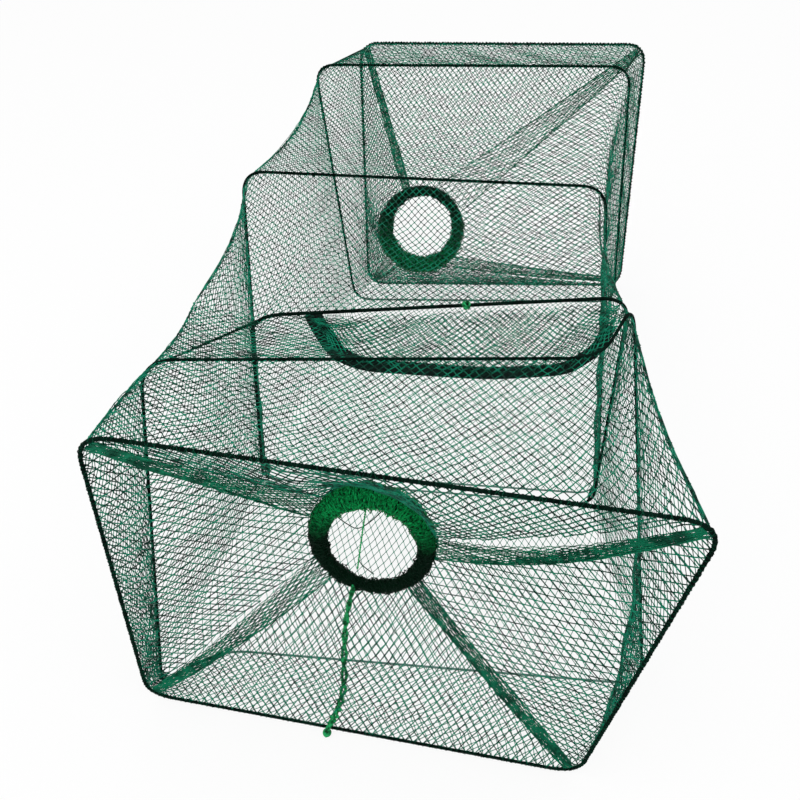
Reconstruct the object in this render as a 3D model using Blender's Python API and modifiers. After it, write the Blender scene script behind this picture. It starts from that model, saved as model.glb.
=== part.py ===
"""Tunnel fish trap: six wire hoops hold a net tube open, with a net funnel and ring at each end.

Metres, +Z up. The tunnel runs along +Y from the front hoop, whose foot is at the origin.
"""

import math

import bmesh
import bpy
from mathutils import Matrix, Vector

# Driving dimensions
HOOP_WIDTH = 0.450
HOOP_HEIGHT = 0.392
HOOP_WIRE = 0.004
FRONT_WIRE = 0.0055
WIRE_SIDES = 8
CORNER_RADIUS = 0.030
CORNER_STEPS = 5
RING_RADIUS = 0.0535
RING_TUBE = 0.0100
CORD = 0.0022
ANCHOR_CORD = 0.0046
EDGE_CORD = 0.0028
THREAD = 0.0018
TAPE_WIDTH = 0.013
TAPE_THICK = 0.0012
NET_GAP = 0.0075
JOIN_GAP = 0.0010

# Roll of the front hoop's wire that turns one of its flat sides to the floor, in degrees
FRONT_ROLL = -17.6

# Where each flat hoop stands: foot centre, turn about Z, lean away from the front, sideways lean
FRONT_POSE = {"foot": (0.000, 0.000), "turn": 4.4, "lean": 0.6, "skew": 0.034}
FOURTH_POSE = {"foot": (-0.005, 0.349), "turn": 9.5, "lean": 29.2, "skew": -0.030}
FIFTH_POSE = {"foot": (-0.008, 0.7835), "turn": 14.0, "lean": 3.0, "skew": -0.044}
REAR_POSE = {"foot": (0.000, 0.8385), "turn": 14.0, "lean": 17.0, "skew": -0.008}

# The second and third hoops are pulled out of flat where their tops are tied together.
# Each corner: side of the trap, how far to the right of half a hoop's width there, distance along the tunnel.
SECOND_CORNERS = {
    "front_foot": (-1, 0.009, -0.002),
    "left_foot": (-1, 0.056, 0.050),
    "right_foot": (1, 0.058, 0.128),
    "tied_top": (1, -0.031, 0.293),
    "right_top": (1, -0.055, 0.204),
    "left_top": (-1, 0.019, 0.102),
}
THIRD_CORNERS = {
    "left_foot": (-1, 0.002, 0.298),
    "right_foot": (1, -0.013, 0.366),
    "right_top": (1, -0.035, 0.302),
    "left_top": (-1, 0.085, 0.184),
}

# How far the tied tops sit below the top of a hoop that stands straight
TIED_DROP = 0.022
TIED_TOP_HEIGHT = HOOP_HEIGHT - TIED_DROP

# Where the left wall's net passes wide of the third hoop's left top corner
NET_SHOULDER = (-1, 0.012, 0.203)
SHOULDER_DROP = 0.012

FRONT_RING = {"centre": (-0.005, 0.098, 0.200), "tip": 16.0, "turn": 4.0}
REAR_RING = {"centre": (-0.094, 0.662, 0.200), "tip": 30.0, "turn": 14.0}

# The opening in the top net, as points on its tape, all at one height just below the tied tops
TAPE_DROP = 0.0090
TAPE_HEIGHT = TIED_TOP_HEIGHT - TAPE_DROP
TAPE_PATH = [
    (-0.087, 0.2035),
    (-0.071, 0.183),
    (-0.042, 0.158),
    (0.006, 0.157),
    (0.090, 0.173),
    (0.138, 0.191),
    (0.161, 0.216),
    (0.173, 0.245),
    (0.178, 0.264),
]

# Distance of the flap's net from the third hoop's top wire, and from the tape on its far side
HATCH_GAP = 0.008

# Sideways places of the green cord on the front ring, and the size of its knot
THROAT_TOP_OFFSET = 0.006
THROAT_FOOT_OFFSET = 0.012
ANCHOR_OFFSET = 0.014
ANCHOR_KNOT_RADIUS = 0.0045

LOOKS = {
    "wire": ((0.010, 0.022, 0.018, 1.0), 0.45, 0.3),
    "net": ((0.004, 0.050, 0.032, 1.0), 0.55, 0.0),
    "ring": ((0.003, 0.085, 0.040, 1.0), 0.45, 0.0),
    "cord": ((0.004, 0.180, 0.050, 1.0), 0.50, 0.0),
    "tape": ((0.004, 0.020, 0.014, 1.0), 0.80, 0.0),
}


def clear_scene():
    for thing in list(bpy.data.objects):
        bpy.data.objects.remove(thing, do_unlink=True)


def make_material(name):
    colour, roughness, metallic = LOOKS[name]
    material = bpy.data.materials.new(name)
    material.use_nodes = True
    shader = material.node_tree.nodes["Principled BSDF"]
    shader.inputs["Base Color"].default_value = colour
    shader.inputs["Roughness"].default_value = roughness
    shader.inputs["Metallic"].default_value = metallic
    return material


def make_empty(name, place, parent=None):
    empty = bpy.data.objects.new(name, None)
    empty.empty_display_size = 0.03
    empty.location = place
    if parent:
        empty.parent = parent
        empty.location = Vector(place) - parent.matrix_world.translation
    COLLECTION.objects.link(empty)
    bpy.context.view_layer.update()
    return empty


def place_under(thing, parent):
    """Parents a thing whose data is in world coordinates, so that it stays where it is."""
    thing.parent = parent
    thing.matrix_parent_inverse = parent.matrix_world.inverted()


def adopt(thing, name, look, parent):
    """Names a new primitive and moves it to the trap's collection, under its section."""
    thing.name = name
    thing.data.name = name
    for collection in list(thing.users_collection):
        collection.objects.unlink(thing)
    COLLECTION.objects.link(thing)
    place_under(thing, parent)
    thing.data.materials.append(MATERIALS[look])
    thing.data.shade_smooth()


def rounded(corners, radius, steps=CORNER_STEPS):
    """A closed path through the corners, each one turned into a curve that starts radius before it."""
    path = []
    count = len(corners)
    for i in range(count):
        corner = Vector(corners[i])
        before = Vector(corners[i - 1])
        after = Vector(corners[(i + 1) % count])
        reach = min(radius, (before - corner).length * 0.45, (after - corner).length * 0.45)
        start = corner + (before - corner).normalized() * reach
        end = corner + (after - corner).normalized() * reach
        for k in range(steps + 1):
            t = k / steps
            path.append(start * (1 - t) ** 2 + corner * 2 * t * (1 - t) + end * t ** 2)
    return path


def make_wire(name, path, diameter, look, parent, closed=False, sides=2, roll=0.0):
    """A round wire or cord along a path, as a curve object with a bevel."""
    curve = bpy.data.curves.new(name, "CURVE")
    curve.dimensions = "3D"
    curve.bevel_depth = diameter / 2
    curve.bevel_resolution = sides
    curve.use_fill_caps = not closed
    spline = curve.splines.new("POLY")
    spline.points.add(len(path) - 1)
    for point, place in zip(spline.points, path):
        point.co = (*place, 1.0)
        point.tilt = math.radians(roll)
    spline.use_cyclic_u = closed
    wire = bpy.data.objects.new(name, curve)
    curve.materials.append(MATERIALS[look])
    COLLECTION.objects.link(wire)
    place_under(wire, parent)
    return wire


def flat_hoop_corners(pose, foot_height):
    """Left foot, right foot, right top and left top of a hoop in one plane."""
    turn = math.radians(pose["turn"])
    lean = math.radians(pose["lean"])
    across = Vector((math.cos(turn), math.sin(turn), 0))
    back = Vector((-math.sin(turn), math.cos(turn), 0))
    rise = back * math.sin(lean) + Vector((0, 0, math.cos(lean)))
    foot = Vector((*pose["foot"], foot_height))
    top = foot + rise * HOOP_HEIGHT + across * pose["skew"]
    half = across * HOOP_WIDTH / 2
    return [foot - half, foot + half, top + half, top - half]


def corner_middle(corner, before, after):
    """The middle of the curve that rounded() puts at a corner."""
    to_before = (before - corner).normalized()
    to_after = (after - corner).normalized()
    return corner + (to_before + to_after) * CORNER_RADIUS / 4


def cord_between(name, start, end, wire, parent):
    """A selvedge cord from one wire to another, with a small gap to both."""
    along = (end - start).normalized()
    clear = along * (wire / 2 + EDGE_CORD / 2 + JOIN_GAP)
    return make_wire(name, [start + clear, end - clear], EDGE_CORD, "net", parent, sides=1)


def at_height(point, height):
    return Vector((point[0], point[1], height))


def corner_at(corner, height):
    """A corner given by its side, its distance from half a hoop's width and its place along the tunnel."""
    side, right, along = corner
    return Vector((side * HOOP_WIDTH / 2 + right, along, height))


def diamonds(columns, rows, wrap):
    """(corners, faces) of a sheet of diamonds, with half diamonds along its open edges."""
    faces = []
    for i in range(2 * columns + (0 if wrap else 1)):
        for j in range(2 * rows + 1):
            if (i + j) % 2 == 0:
                continue
            around = [(i - 1, j), (i, j + 1), (i + 1, j), (i, j - 1)]
            if wrap:
                around = [(a % (2 * columns), b) for a, b in around]
                kept = [c for c in around if 0 <= c[1] <= 2 * rows]
            else:
                kept = [c for c in around if 0 <= c[0] <= 2 * columns and 0 <= c[1] <= 2 * rows]
            faces.append(kept)
    return faces


def net_object(name, faces, place, parent):
    """Turns a sheet of diamonds into joined net bars, with a Wireframe modifier."""
    mesh = bpy.data.meshes.new(name)
    shape = bmesh.new()
    corners = {}
    for face in faces:
        for corner in face:
            if corner not in corners:
                corners[corner] = shape.verts.new(place(*corner))
        shape.faces.new([corners[corner] for corner in face])
    bmesh.ops.recalc_face_normals(shape, faces=shape.faces[:])
    shape.to_mesh(mesh)
    shape.free()
    net = bpy.data.objects.new(name, mesh)
    mesh.materials.append(MATERIALS["net"])
    bars = net.modifiers.new("bars", "WIREFRAME")
    bars.thickness = THREAD
    bars.offset = 0.0
    bars.use_boundary = True
    bars.use_replace = True
    bars.use_even_offset = False
    COLLECTION.objects.link(net)
    place_under(net, parent)
    return net


def net_panel(name, edge_a, edge_b, cells, parent, rise=(0.05, 0.95), sag=0.0):
    """Net between two hoops' edges, clear of both wires and drawn in by sag at its middle."""
    columns, rows = cells
    middle = (edge_a[0] + edge_a[1] + edge_b[0] + edge_b[1]) / 4
    inward = Vector((0, middle.y, HOOP_HEIGHT / 2)) - middle
    inward.y = 0
    inward.normalize()

    def place(i, j):
        v = rise[0] + (rise[1] - rise[0]) * j / (2 * rows)
        on_a = edge_a[0].lerp(edge_a[1], v)
        on_b = edge_b[0].lerp(edge_b[1], v)
        span = on_b - on_a
        clear = NET_GAP / span.length
        u = clear + (1 - 2 * clear) * i / (2 * columns)
        bulge = sag * math.sin(math.pi * u) * math.sin(math.pi * v) ** 0.5
        return on_a + span * u + inward * bulge

    return net_object(name, diamonds(columns, rows, False), place, parent)


def ring_axes(ring):
    """Centre, rightwards and upwards directions of a funnel ring's plane."""
    turn = math.radians(ring["turn"])
    tip = math.radians(ring["tip"])
    across = Vector((math.cos(turn), math.sin(turn), 0))
    back = Vector((-math.sin(turn), math.cos(turn), 0))
    up = back * math.sin(tip) + Vector((0, 0, math.cos(tip)))
    return Vector(ring["centre"]), across, up


def make_ring(name, ring, parent):
    centre, across, up = ring_axes(ring)
    bpy.ops.mesh.primitive_torus_add(
        major_radius=RING_RADIUS,
        minor_radius=RING_TUBE,
        major_segments=32,
        minor_segments=10,
    )
    torus = bpy.context.object
    adopt(torus, name, "ring", parent)
    turned = Matrix((across, up, across.cross(up))).transposed().to_4x4()
    torus.matrix_basis = Matrix.Translation(centre) @ turned
    return torus


def funnel_net(name, corners, ring, columns, rows, parent):
    """Net from just inside a hoop's wire to just outside the ring, narrowing between them."""
    centre, across, up = ring_axes(ring)
    hoop_middle = sum(corners, Vector()) / 4
    ring_reach = (RING_RADIUS + RING_TUBE + 0.0020) / math.cos(math.pi / columns)

    def on_hoop(share):
        side = int(share * 4) % 4
        part = share * 4 - int(share * 4)
        start = corners[(side + 3) % 4]
        end = corners[side]
        edge = start.lerp(end, part)
        rounding = 0.075 * abs(2 * part - 1) ** 6
        return edge.lerp(hoop_middle, 0.035 + rounding)

    def on_ring(share):
        angle = 2 * math.pi * share + 0.75 * math.pi
        return centre + (across * math.cos(angle) + up * math.sin(angle)) * ring_reach

    def place(i, j):
        share = (i % (2 * columns)) / (2 * columns)
        depth = j / (2 * rows)
        return on_hoop(share).lerp(on_ring(share), depth)

    return net_object(name, diamonds(columns, rows, True), place, parent)


def tape_band(name, path, width, parent):
    """A flat tape that follows a path in one plane, as a filled 2D outline with thickness."""
    left, right = [], []
    for k, point in enumerate(path):
        before = Vector(path[max(k - 1, 0)])
        after = Vector(path[min(k + 1, len(path) - 1)])
        along = (after - before).normalized()
        side = Vector((-along.y, along.x)) * width / 2
        left.append(Vector(point) + side)
        right.append(Vector(point) - side)
    curve = bpy.data.curves.new(name, "CURVE")
    curve.dimensions = "2D"
    curve.fill_mode = "BOTH"
    curve.extrude = TAPE_THICK / 2
    outline = left + right[::-1]
    spline = curve.splines.new("POLY")
    spline.points.add(len(outline) - 1)
    for point, place in zip(spline.points, outline):
        point.co = (place.x, place.y, 0.0, 1.0)
    spline.use_cyclic_u = True
    tape = bpy.data.objects.new(name, curve)
    curve.materials.append(MATERIALS["tape"])
    COLLECTION.objects.link(tape)
    tape.location = (0, 0, TAPE_HEIGHT)
    place_under(tape, parent)
    return tape


def knot(name, centre, along, wire, look, parent):
    """A cord's knot round a wire: a small fat ring with the wire through it."""
    strand = CORD * 0.62
    bpy.ops.mesh.primitive_torus_add(
        major_radius=wire / 2 + 0.0005 + strand,
        minor_radius=strand,
        major_segments=14,
        minor_segments=8,
    )
    loop = bpy.context.object
    adopt(loop, name, look, parent)
    facing = Vector(along).to_track_quat("Z", "Y").to_matrix().to_4x4()
    loop.matrix_basis = Matrix.Translation(centre) @ facing
    return loop


def lump(name, centre, radius, look, parent):
    """A knot that sits against a wire, as a small rounded lump."""
    bpy.ops.mesh.primitive_uv_sphere_add(segments=12, ring_count=8, radius=radius)
    ball = bpy.context.object
    adopt(ball, name, look, parent)
    ball.matrix_basis = Matrix.Translation(centre)
    return ball


clear_scene()
COLLECTION = bpy.data.collections.new("tunnel_fish_trap")
bpy.context.scene.collection.children.link(COLLECTION)
MATERIALS = {name: make_material(name) for name in LOOKS}

# Corners of every hoop, from its left foot round to its left top
front_floor = FRONT_WIRE / 2 * math.cos(math.pi / WIRE_SIDES)
floor = HOOP_WIRE / 2
front = flat_hoop_corners(FRONT_POSE, front_floor)
fourth = flat_hoop_corners(FOURTH_POSE, floor)
fifth = flat_hoop_corners(FIFTH_POSE, floor)
rear = flat_hoop_corners(REAR_POSE, floor)
second = {
    place: corner_at(corner, floor if "foot" in place else TIED_TOP_HEIGHT)
    for place, corner in SECOND_CORNERS.items()
}
third = {
    place: corner_at(corner, floor if "foot" in place else TIED_TOP_HEIGHT)
    for place, corner in THIRD_CORNERS.items()
}
shoulder = corner_at(NET_SHOULDER, TIED_TOP_HEIGHT - SHOULDER_DROP)

# Empties that carry each moving group
front_section = make_empty("front_section", (0, 0, 0))
front_throat = make_empty("front_throat", FRONT_RING["centre"], front_section)
rear_section = make_empty("rear_section", (*FIFTH_POSE["foot"], 0), front_section)
rear_throat = make_empty("rear_throat", REAR_RING["centre"], rear_section)
hatch_hinge = third["left_top"].lerp(third["right_top"], 0.5)
hatch_hinge.z = TAPE_HEIGHT
hatch = make_empty("hatch", hatch_hinge, front_section)

# Hoops
make_wire("front_hoop", rounded(front, CORNER_RADIUS), FRONT_WIRE, "wire", front_section, True,
          roll=FRONT_ROLL)
make_wire(
    "second_hoop", rounded(list(second.values()), CORNER_RADIUS), HOOP_WIRE, "wire", front_section, True
)
make_wire(
    "third_hoop", rounded(list(third.values()), CORNER_RADIUS), HOOP_WIRE, "wire", front_section, True
)
make_wire("fourth_hoop", rounded(fourth, CORNER_RADIUS), HOOP_WIRE, "wire", front_section, True)
make_wire("fifth_hoop", rounded(fifth, CORNER_RADIUS), HOOP_WIRE, "wire", rear_section, True)
make_wire("rear_hoop", rounded(rear, CORNER_RADIUS), HOOP_WIRE, "wire", rear_section, True)

# Funnels and their rings
make_ring("front_funnel_ring", FRONT_RING, front_throat)
make_ring("rear_funnel_ring", REAR_RING, rear_throat)
funnel_net("front_funnel_net", front, FRONT_RING, 12, 2, front_section)
funnel_net("rear_funnel_net", rear, REAR_RING, 12, 2, rear_section)

# Net walls between neighbouring hoops
net_panel("net_1_2_left", (front[0], front[3]), (second["front_foot"], second["left_top"]),
          (1, 5), front_section, (0.30, 0.93))
net_panel("net_1_2_top", (front[3], front[2]), (second["left_top"], second["right_top"]),
          (2, 6), front_section, (0.04, 0.96), 0.006)
net_panel("net_1_2_right", (front[1], front[2]), (second["right_foot"], second["tied_top"]),
          (2, 5), front_section, (0.05, 0.93), 0.010)
net_panel("net_1_2_floor", (front[0], front[1]), (second["left_foot"], second["right_foot"]),
          (1, 5), front_section, (0.16, 0.94))
net_panel("net_2_3_left", (second["front_foot"], second["left_top"]),
          (third["left_foot"], shoulder), (3, 5), front_section, (0.05, 0.93), 0.012)
net_panel("net_2_3_right", (second["right_foot"], second["tied_top"]),
          (third["right_foot"], third["right_top"]), (2, 4), front_section, (0.05, 0.86), 0.004)
net_panel("net_2_3_floor", (second["left_foot"], second["right_foot"]),
          (third["left_foot"], third["right_foot"]), (3, 5), front_section, (0.06, 0.94))
net_panel("net_2_3_top", (second["left_top"], second["left_top"].lerp(second["right_top"], 0.385)),
          (third["left_top"], third["left_top"].lerp(third["right_top"], 0.11)),
          (2, 3), front_section, (0.12, 0.96))
net_panel("net_2_4_shoulder", (second["left_top"], third["left_top"]), (shoulder, fourth[3]),
          (2, 3), front_section, (0.06, 0.90))
net_panel("net_3_4_left", (third["left_foot"], shoulder), (fourth[0], fourth[3]),
          (2, 5), front_section, (0.12, 0.93), 0.008)
net_panel("net_3_4_top", (third["left_top"], third["right_top"]), (fourth[3], fourth[2]),
          (3, 5), front_section, (0.05, 0.95), 0.012)
net_panel("net_3_4_right", (third["right_foot"], third["right_top"]), (fourth[1], fourth[2]),
          (2, 5), front_section, (0.12, 0.93), 0.008)
net_panel("net_4_5_left", (fourth[0], fourth[3]), (fifth[0], fifth[3]),
          (3, 4), front_section, (0.05, 0.94), 0.020)
net_panel("net_4_5_top", (fourth[3], fourth[2]), (fifth[3], fifth[2]),
          (3, 5), front_section, (0.05, 0.95), 0.020)
net_panel("net_4_5_right", (fourth[1], fourth[2]), (fifth[1], fifth[2]),
          (3, 4), front_section, (0.05, 0.94), 0.020)
net_panel("net_4_5_floor", (fourth[0], fourth[1]), (fifth[0], fifth[1]),
          (4, 5), front_section, (0.05, 0.95))
net_panel("net_5_6_left", (fifth[0], fifth[3]), (rear[0], rear[3]),
          (1, 5), rear_section, (0.06, 0.93), 0.003)
net_panel("net_5_6_top", (fifth[3], fifth[2]), (rear[3], rear[2]),
          (2, 6), rear_section, (0.05, 0.95), 0.003)
net_panel("net_5_6_right", (fifth[1], fifth[2]), (rear[1], rear[2]),
          (1, 5), rear_section, (0.06, 0.93), 0.003)
net_panel("net_5_6_floor", (fifth[0], fifth[1]), (rear[0], rear[1]),
          (1, 6), rear_section, (0.06, 0.94))

# Emptying hatch: a net flap hung from the third hoop's top, closed by a tape along its free edge
third_top_along = (third["right_top"] - third["left_top"]).normalized()
towards_front = Vector((third_top_along.y, -third_top_along.x, 0))
hatch_back = [
    at_height(third["left_top"].lerp(third["right_top"], share) + towards_front * HATCH_GAP, TAPE_HEIGHT)
    for share in (0.20, 0.93)
]
hatch_front = [
    at_height(Vector((*TAPE_PATH[k], 0)) - towards_front * HATCH_GAP, TAPE_HEIGHT)
    for k in (2, 5)
]
net_panel("hatch_flap_net", hatch_back, hatch_front, (2, 7), hatch, (0.05, 0.95))
tape_band("hatch_tape", TAPE_PATH, TAPE_WIDTH, hatch)
knot("hatch_knot", third["left_top"].lerp(third["right_top"], 0.56), third_top_along,
     HOOP_WIRE, "cord", front_section)

# Edge cords between neighbouring hoops' top corners
cord_between("edge_cord_2_3",
             corner_middle(second["left_top"], second["front_foot"], second["right_top"]),
             corner_middle(third["left_top"], third["left_foot"], third["right_top"]),
             HOOP_WIRE, front_section)
cord_between("edge_cord_5_6_left", corner_middle(fifth[3], fifth[0], fifth[2]),
             corner_middle(rear[3], rear[0], rear[2]), HOOP_WIRE, rear_section)
cord_between("edge_cord_5_6_right", corner_middle(fifth[2], fifth[1], fifth[3]),
             corner_middle(rear[2], rear[1], rear[3]), HOOP_WIRE, rear_section)

# Green cord: across the front ring, then down to a knot on the front hoop's foot
centre, across, up = ring_axes(FRONT_RING)
inner = RING_RADIUS - RING_TUBE - 0.0012
cord_top = centre - across * THROAT_TOP_OFFSET + up * (inner - 0.0004)
cord_foot = centre - across * THROAT_FOOT_OFFSET - up * (inner - 0.0012)
make_wire("throat_cord", [cord_top, cord_top.lerp(cord_foot, 0.5), cord_foot], CORD, "cord",
          front_throat, sides=1)
thread_left = centre + (across * math.cos(2.72) + up * math.sin(2.72)) * inner
thread_right = centre + (across * math.cos(0.95) + up * math.sin(0.95)) * inner
back_off = across.cross(up) * -0.0035
thread_dip = cord_top.lerp(cord_foot, 0.24) + back_off
make_wire("throat_thread", [thread_left, thread_dip, thread_right], THREAD * 0.8, "net",
          front_throat, sides=1)
along_foot = (front[1] - front[0]).normalized()
outward = Vector((along_foot.y, -along_foot.x, 0))
lump_centre = front[0].lerp(front[1], 0.43) + outward * (FRONT_WIRE / 2 + 0.0004 + ANCHOR_KNOT_RADIUS)
lump_centre.z = ANCHOR_KNOT_RADIUS * 1.2
facing = across.cross(up)
clear_of_ring = facing * (RING_TUBE + ANCHOR_CORD / 2 + JOIN_GAP)
anchor_top = centre - across * ANCHOR_OFFSET - up * RING_RADIUS + clear_of_ring
anchor_foot = lump_centre + Vector((0.0, 0.0, ANCHOR_KNOT_RADIUS + JOIN_GAP))
make_wire("anchor_cord", [anchor_top, anchor_top.lerp(anchor_foot, 0.5), anchor_foot], ANCHOR_CORD,
          "cord", front_section, sides=1)
lump("anchor_knot", lump_centre, ANCHOR_KNOT_RADIUS, "cord", front_section)
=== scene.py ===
"""Looks of the tunnel fish trap: knotted netting, laced hoops, wrapped rings, cords, tape and the studio.

Metres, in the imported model's frame: +Y along the tunnel from the front hoop, +Z up.
"""

import math

import bpy
import numpy as np
from mathutils import Euler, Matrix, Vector


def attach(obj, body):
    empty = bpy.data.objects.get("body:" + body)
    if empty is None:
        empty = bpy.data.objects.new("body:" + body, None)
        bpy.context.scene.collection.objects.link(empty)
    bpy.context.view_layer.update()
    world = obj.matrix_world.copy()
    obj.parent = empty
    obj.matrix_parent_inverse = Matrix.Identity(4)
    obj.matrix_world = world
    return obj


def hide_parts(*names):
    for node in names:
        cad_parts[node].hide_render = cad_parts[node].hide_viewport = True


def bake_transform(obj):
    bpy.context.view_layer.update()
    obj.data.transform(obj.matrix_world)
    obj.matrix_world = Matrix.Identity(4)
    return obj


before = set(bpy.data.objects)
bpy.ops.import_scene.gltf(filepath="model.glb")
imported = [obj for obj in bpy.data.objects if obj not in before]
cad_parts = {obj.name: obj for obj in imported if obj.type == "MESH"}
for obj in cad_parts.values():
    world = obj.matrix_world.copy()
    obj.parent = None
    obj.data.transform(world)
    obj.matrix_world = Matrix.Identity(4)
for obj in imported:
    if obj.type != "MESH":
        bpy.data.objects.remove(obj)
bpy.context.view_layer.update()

# Sizes shared with the solid model
HOOP_WIDTH = 0.450
HOOP_HEIGHT = 0.392
HOOP_WIRE = 0.004
FRONT_WIRE = 0.0055
CORNER_RADIUS = 0.030
RING_RADIUS = 0.0535
RING_TUBE = 0.0100
CORD = 0.0022
TAPE_WIDTH = 0.013
TAPE_THICK = 0.0012
TIED_DROP = 0.022
TIED_TOP_HEIGHT = HOOP_HEIGHT - TIED_DROP
TAPE_HEIGHT = TIED_TOP_HEIGHT - 0.0090
SHOULDER_DROP = 0.012

# Where each flat hoop stands: foot centre, turn about Z, lean away from the front, sideways lean
FRONT_POSE = {"foot": (0.000, 0.000), "turn": 4.4, "lean": 0.6, "skew": 0.034}
FOURTH_POSE = {"foot": (-0.005, 0.349), "turn": 9.5, "lean": 29.2, "skew": -0.030}
FIFTH_POSE = {"foot": (-0.008, 0.7835), "turn": 14.0, "lean": 3.0, "skew": -0.044}
REAR_POSE = {"foot": (0.000, 0.8385), "turn": 14.0, "lean": 17.0, "skew": -0.008}

# Corners of the two tied hoops: side, how far to the right of half a hoop's width, place along the tunnel
SECOND_CORNERS = {
    "front_foot": (-1, 0.009, -0.002),
    "left_foot": (-1, 0.056, 0.050),
    "right_foot": (1, 0.058, 0.128),
    "tied_top": (1, -0.031, 0.293),
    "right_top": (1, -0.055, 0.204),
    "left_top": (-1, 0.019, 0.102),
}
THIRD_CORNERS = {
    "left_foot": (-1, 0.002, 0.298),
    "right_foot": (1, -0.013, 0.366),
    "right_top": (1, -0.035, 0.302),
    "left_top": (-1, 0.085, 0.184),
}
NET_SHOULDER = (-1, 0.017, 0.203)

# Rings: centre, tip away from the front, turn about Z. Their wrap: how thick it is all round and how much
# more at the top and at the right, as shares of RING_TUBE, and how far its middle is drawn in at the top
FRONT_RING = {"centre": (-0.005, 0.098, 0.200), "tip": 16, "turn": 4, "wrap": (0.83, 0.29, 0.00, 0.0062)}
REAR_RING = {"centre": (-0.094, 0.662, 0.200), "tip": 30, "turn": 14, "wrap": (0.85, -0.24, -0.10, 0)}

# The tape's path seen from above, from its left end
TAPE_PATH = [
    (-0.087, 0.2035), (-0.071, 0.183), (-0.042, 0.158), (0.006, 0.157), (0.090, 0.173),
    (0.138, 0.191), (0.161, 0.216), (0.173, 0.245), (0.178, 0.264),
]

# How far the tape's left end reaches on past its path
TAPE_TAIL = 0.010

# Where the hatch begins, ends and has its knot, by on_third_top
HATCH_LEFT = 0.15
HATCH_RIGHT = 0.97
HATCH_KNOT = 0.56

# Netting: a diamond's width, thicknesses of twine, half a knot's width, and a knot's least height
MESH_WIDTH = 0.0090
TWINE = 0.00088
FUNNEL_TWINE = 0.00120
BAND_TWINE = 0.00088
SLACK_TWINE = 0.00075
KNOT = 0.00105
LOWEST_KNOT = 0.0013
TOP_COLUMNS = round(HOOP_WIDTH / MESH_WIDTH)
SIDE_COLUMNS = round(HOOP_HEIGHT / MESH_WIDTH)

# How far a net wanders in its surface, as a share of its width
WALL_DRIFT = 0.006
FUNNEL_DRIFT = 0.004

# Points on a rounded corner, the most of an edge that it takes, and the second hoop's sharper foot
ARC_POINTS = 15
ARC_MIDDLE = ARC_POINTS // 2
EDGE_SHARE = 0.45
SHARED_FOOT_RADIUS = 0.010

rng = np.random.default_rng(20)


# Materials

NOISE_DETAIL = 3
RELIEF_DEPTH = 0.0006


def make_node(tree, kind, values=None):
    """A new node of this kind, with values for some of its inputs."""
    node = tree.nodes.new(kind)
    for key, value in (values or {}).items():
        node.inputs[key].default_value = value
    return node


def twine_material(name, dark, light, scale, roughness=0.6, between=(0.40, 0.60), bump=0, grain=900,
                   fade=None, gloss=0.12):
    """Colour that goes from dark to light as a noise rises through between, with a relief where bump is set.
    fade gives the heights where it is dark and where it is at its brightest."""
    material = bpy.data.materials.new(name)
    material.use_nodes = True
    tree = material.node_tree
    links = tree.links
    shader = tree.nodes["Principled BSDF"]
    shader.inputs["Roughness"].default_value = roughness
    shader.inputs["Specular IOR Level"].default_value = gloss
    place = make_node(tree, "ShaderNodeTexCoord")
    noise = make_node(tree, "ShaderNodeTexNoise", {"Scale": scale, "Detail": NOISE_DETAIL})
    ramp = make_node(tree, "ShaderNodeValToRGB")
    for k, shade in enumerate((dark, light)):
        ramp.color_ramp.elements[k].position = between[k]
        ramp.color_ramp.elements[k].color = (*shade, 1)
    links.new(place.outputs["Object"], noise.inputs["Vector"])
    links.new(noise.outputs["Fac"], ramp.inputs["Fac"])
    colour = ramp.outputs["Color"]
    if fade:
        parts = make_node(tree, "ShaderNodeSeparateXYZ")
        height = make_node(tree, "ShaderNodeMapRange", {"From Min": fade[0], "From Max": fade[1]})
        mix = make_node(tree, "ShaderNodeMix")
        mix.data_type = "RGBA"
        mix.inputs[6].default_value = (*dark, 1)
        links.new(place.outputs["Object"], parts.inputs["Vector"])
        links.new(parts.outputs["Z"], height.inputs["Value"])
        links.new(height.outputs["Result"], mix.inputs[0])
        links.new(colour, mix.inputs[7])
        colour = mix.outputs[2]
    links.new(colour, shader.inputs["Base Color"])
    if bump:
        relief_noise = make_node(tree, "ShaderNodeTexNoise", {"Scale": grain})
        relief = make_node(tree, "ShaderNodeBump", {"Strength": bump, "Distance": RELIEF_DEPTH})
        links.new(place.outputs["Object"], relief_noise.inputs["Vector"])
        links.new(relief_noise.outputs["Fac"], relief.inputs["Height"])
        links.new(relief.outputs["Normal"], shader.inputs["Normal"])
    return material


NET_TWINE = twine_material("net_twine", (0.0008, 0.030, 0.018), (0.004, 0.240, 0.135), 75)
# The floor's netting is the same twine as the walls, painted a brighter, paler green: painted light where it
# lies lit on the white floor
LIT_FLOOR_NET = twine_material("lit_floor_net", (0.008, 0.190, 0.110), (0.020, 0.360, 0.220), 120)
FOLD_NET = twine_material("folded_net", (0.001, 0.075, 0.040), (0.003, 0.220, 0.110), 80)
WIRE_COAT = twine_material(
    "coated_wire", (0.0005, 0.003, 0.002), (0.0015, 0.011, 0.007), 60, 0.8, bump=0.3, gloss=0.03
)
FADED_WIRE = twine_material("net_covered_wire", (0.080, 0.180, 0.145), (0.140, 0.260, 0.220), 150, 0.7)
HOOP_LACING = twine_material("hoop_lacing", (0.0006, 0.008, 0.005), (0.002, 0.055, 0.028), 150, gloss=0.05)
RING_WRAP = twine_material(
    "ring_wrap", (0.0005, 0.008, 0.004), (0.0015, 0.045, 0.016), 60, bump=0.8, gloss=0.03
)
FRONT_RING_THREAD = twine_material(
    "front_ring_thread", (0.0006, 0.015, 0.006), (0.003, 0.420, 0.105), 420, 0.4, (0.34, 0.56),
    fade=(0.196, 0.232), gloss=0.08,
)
REAR_RING_THREAD = twine_material(
    "rear_ring_thread", (0.0006, 0.020, 0.009), (0.003, 0.330, 0.105), 420, 0.4,
    fade=(0.225, 0.155), gloss=0.08,
)
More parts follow.
